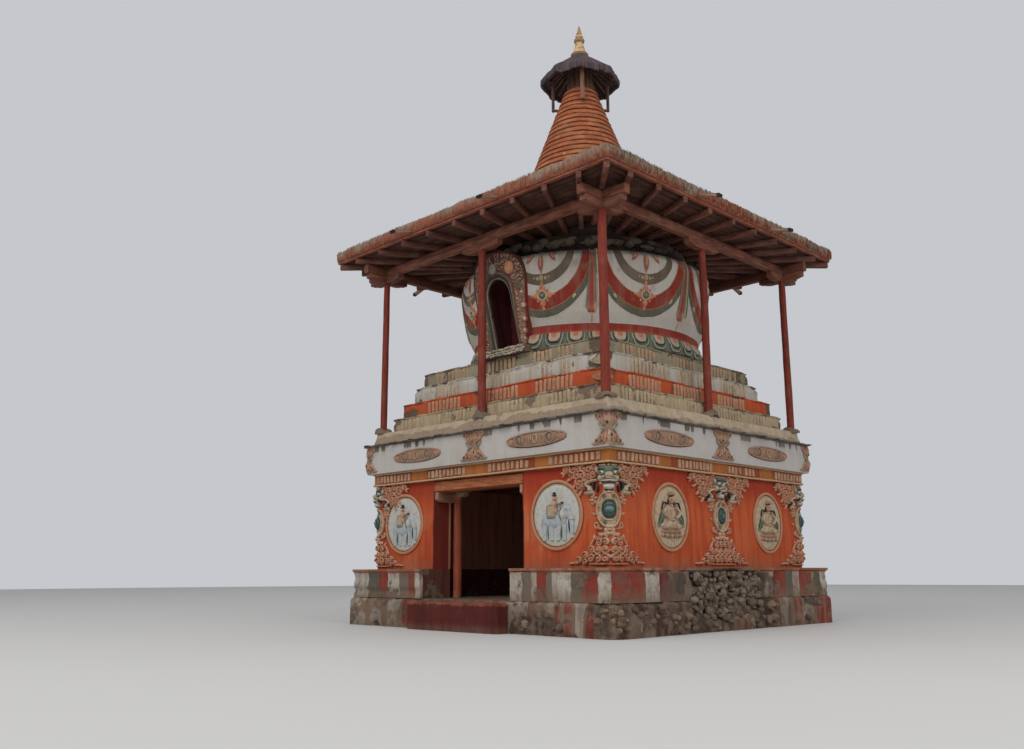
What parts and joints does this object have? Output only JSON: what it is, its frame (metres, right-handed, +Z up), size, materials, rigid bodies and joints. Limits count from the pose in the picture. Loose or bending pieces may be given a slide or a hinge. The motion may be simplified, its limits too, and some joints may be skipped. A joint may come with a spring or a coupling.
{
  "type": "stupa with a canopy roof",
  "caption": "Square stupa: striped plinth, chamber with a wide doorway, stepped tiers, round dome with a niche, and a timber canopy roof on posts with a ringed spire.",
  "frame": {"origin": "centre of the square plan at ground level", "axes": "+Z up; the face with the doorway looks along -Y, and +X is to the right of someone facing the door"},
  "size_m": [9.1, 9.1, 14.105],
  "materials": {
    "rough_base": "rough stone and mud with worn brown plaster and remains of paint",
    "dark_red_plaster": "dark red lime wash on mud plaster",
    "striped_plaster": "vertical dark red, white and grey-green lime wash stripes",
    "orange_lime_wash": "streaky orange lime wash, darker red at the top",
    "ochre_timber": "ochre-brown painted timber",
    "red_timber": "brick red painted poles",
    "ochre_plaster": "brown-orange lime wash with raised bars",
    "white_lime_wash": "stained white lime wash",
    "slate": "thin rough slates",
    "mud": "dry grey-brown mud and brushwood",
    "cream_plaster": "weathered cream lime wash",
    "tier_orange_plaster": "weathered orange lime wash",
    "grey_green_plaster": "weathered grey-green lime wash",
    "lotus_plaster": "painted plaster petals",
    "dome_plaster": "white plaster with painted relief swags",
    "niche_plaster": "painted relief plaster",
    "dark_red_timber": "old red-brown timber",
    "weathered_timber": "grey-brown boards",
    "terracotta": "ringed terracotta-coloured plaster",
    "dark_timber": "dark weathered timber",
    "gilding": "worn gilding"
  },
  "bodies": {
    "root": {"back_wall": "orange_lime_wash", "beam_back": "red_timber", "beam_front": "red_timber", "beam_left": "red_timber", "beam_right": "red_timber", "dome": "dome_plaster", "dome_collar": "white_lime_wash", "door_beam": "ochre_timber", "door_column_left": "red_timber", "door_column_right": "red_timber", "finial": "gilding", "front_step": "dark_red_plaster", "front_wall_left": "orange_lime_wash", "front_wall_right": "orange_lime_wash", "harmika": "white_lime_wash", "left_wall": "orange_lime_wash", "lotus_ring": "lotus_plaster", "lower_base": "rough_base", "mud_ledge": "mud", "niche_frame": "niche_plaster", "niche_sill": "niche_plaster", "ochre_band": "ochre_plaster", "plinth_back": "striped_plaster", "plinth_front_left": "striped_plaster", "plinth_front_right": "striped_plaster", "plinth_left": "striped_plaster", "plinth_right": "striped_plaster", "post_back_left": "red_timber", "post_back_middle": "red_timber", "post_back_right": "red_timber", "post_front_left": "red_timber", "post_front_middle": "red_timber", "post_front_right": "red_timber", "post_left_middle": "red_timber", "post_right_middle": "red_timber", "rafters_back": "dark_red_timber", "rafters_front": "dark_red_timber", "rafters_left": "dark_red_timber", "rafters_right": "dark_red_timber", "right_wall": "orange_lime_wash", "roof_covering": "mud", "roof_deck": "dark_red_timber", "slate_course": "slate", "spire": "terracotta", "spire_neck": "weathered_timber", "strut_back_left": "dark_timber", "strut_back_right": "dark_timber", "strut_front_left": "dark_timber", "strut_front_right": "dark_timber", "tier_cream": "cream_plaster", "tier_grey_green": "grey_green_plaster", "tier_orange": "tier_orange_plaster", "tier_white": "white_lime_wash", "umbrella": "dark_timber", "white_frieze": "white_lime_wash"}
  },
  "joints": []
}
